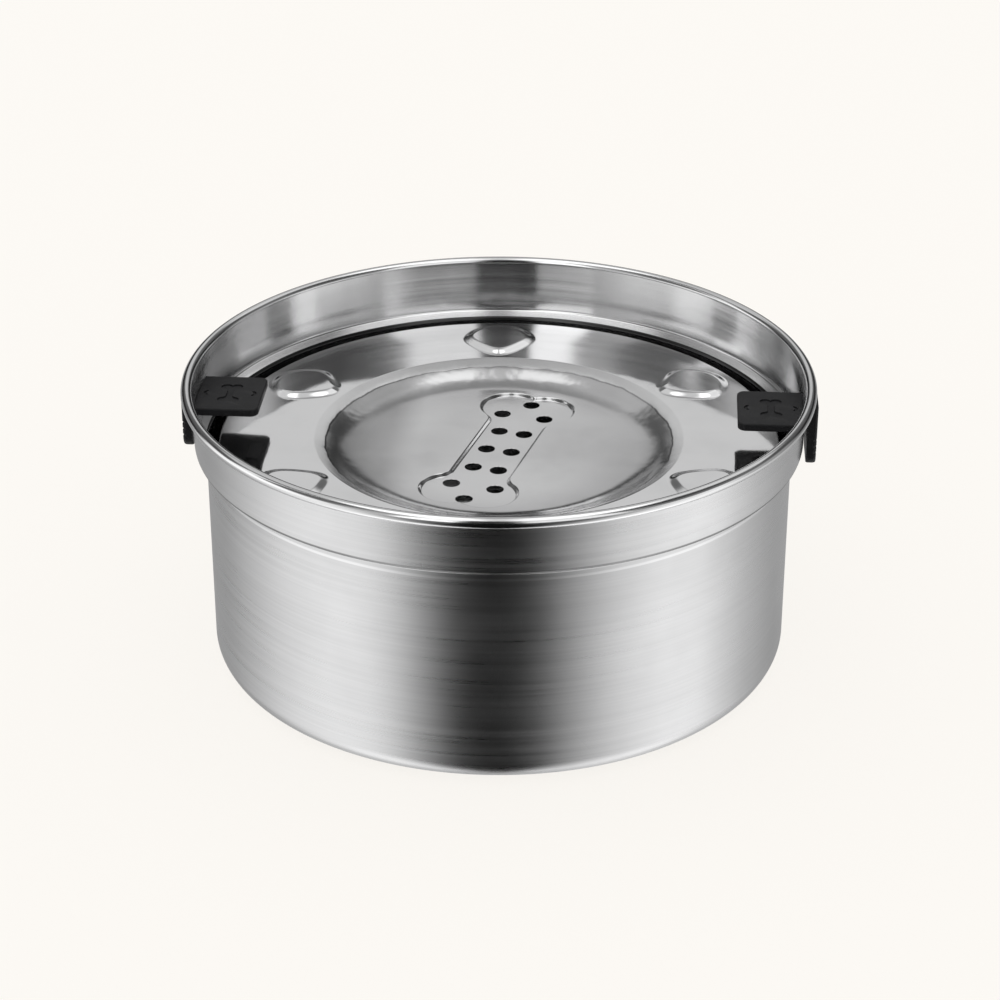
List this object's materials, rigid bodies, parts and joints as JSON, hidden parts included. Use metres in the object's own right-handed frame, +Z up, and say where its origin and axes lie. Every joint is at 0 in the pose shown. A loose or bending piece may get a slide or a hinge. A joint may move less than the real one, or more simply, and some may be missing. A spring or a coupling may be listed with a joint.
{
  "type": "pet water bowl",
  "caption": "Round steel no-spill pet water bowl with a rolled rim, a floating pierced steel plate and sliding clips that hold the plate in.",
  "frame": {"origin": "centre of the footprint, on the surface that the bowl stands on", "axes": "+Z up along the bowl's axis; the clips lie on the X axis, the right clip at +X"},
  "size_m": [0.2408, 0.24, 0.1122],
  "materials": {
    "bowl_steel": "satin",
    "plate_steel": "polished",
    "ring_rubber": "matte",
    "float_plastic": "satin",
    "clip_plastic": "satin"
  },
  "bodies": {
    "bowl": {"bowl": "bowl_steel", "base_ring": "ring_rubber"},
    "float": {"disc_plate": "plate_steel", "float_tray": "float_plastic", "float_lid": "float_plastic"},
    "right_clip": {"right_clip": "clip_plastic"},
    "left_clip": {"left_clip": "clip_plastic"}
  },
  "joints": [
    {"name": "float_heave", "type": "slide", "parent": "bowl", "child": "float", "axis": [0, 0, 1], "range_m": [-0.0675, 0.0097], "stiffness_N_per_m": 165, "springref_m": 0.01363},
    {"name": "right_clip_slide", "type": "slide", "parent": "bowl", "child": "right_clip", "axis": [1, 0, 0], "range_m": [0, 0.0175]},
    {"name": "left_clip_slide", "type": "slide", "parent": "bowl", "child": "left_clip", "axis": [-1, 0, 0], "range_m": [0, 0.0175]}
  ]
}
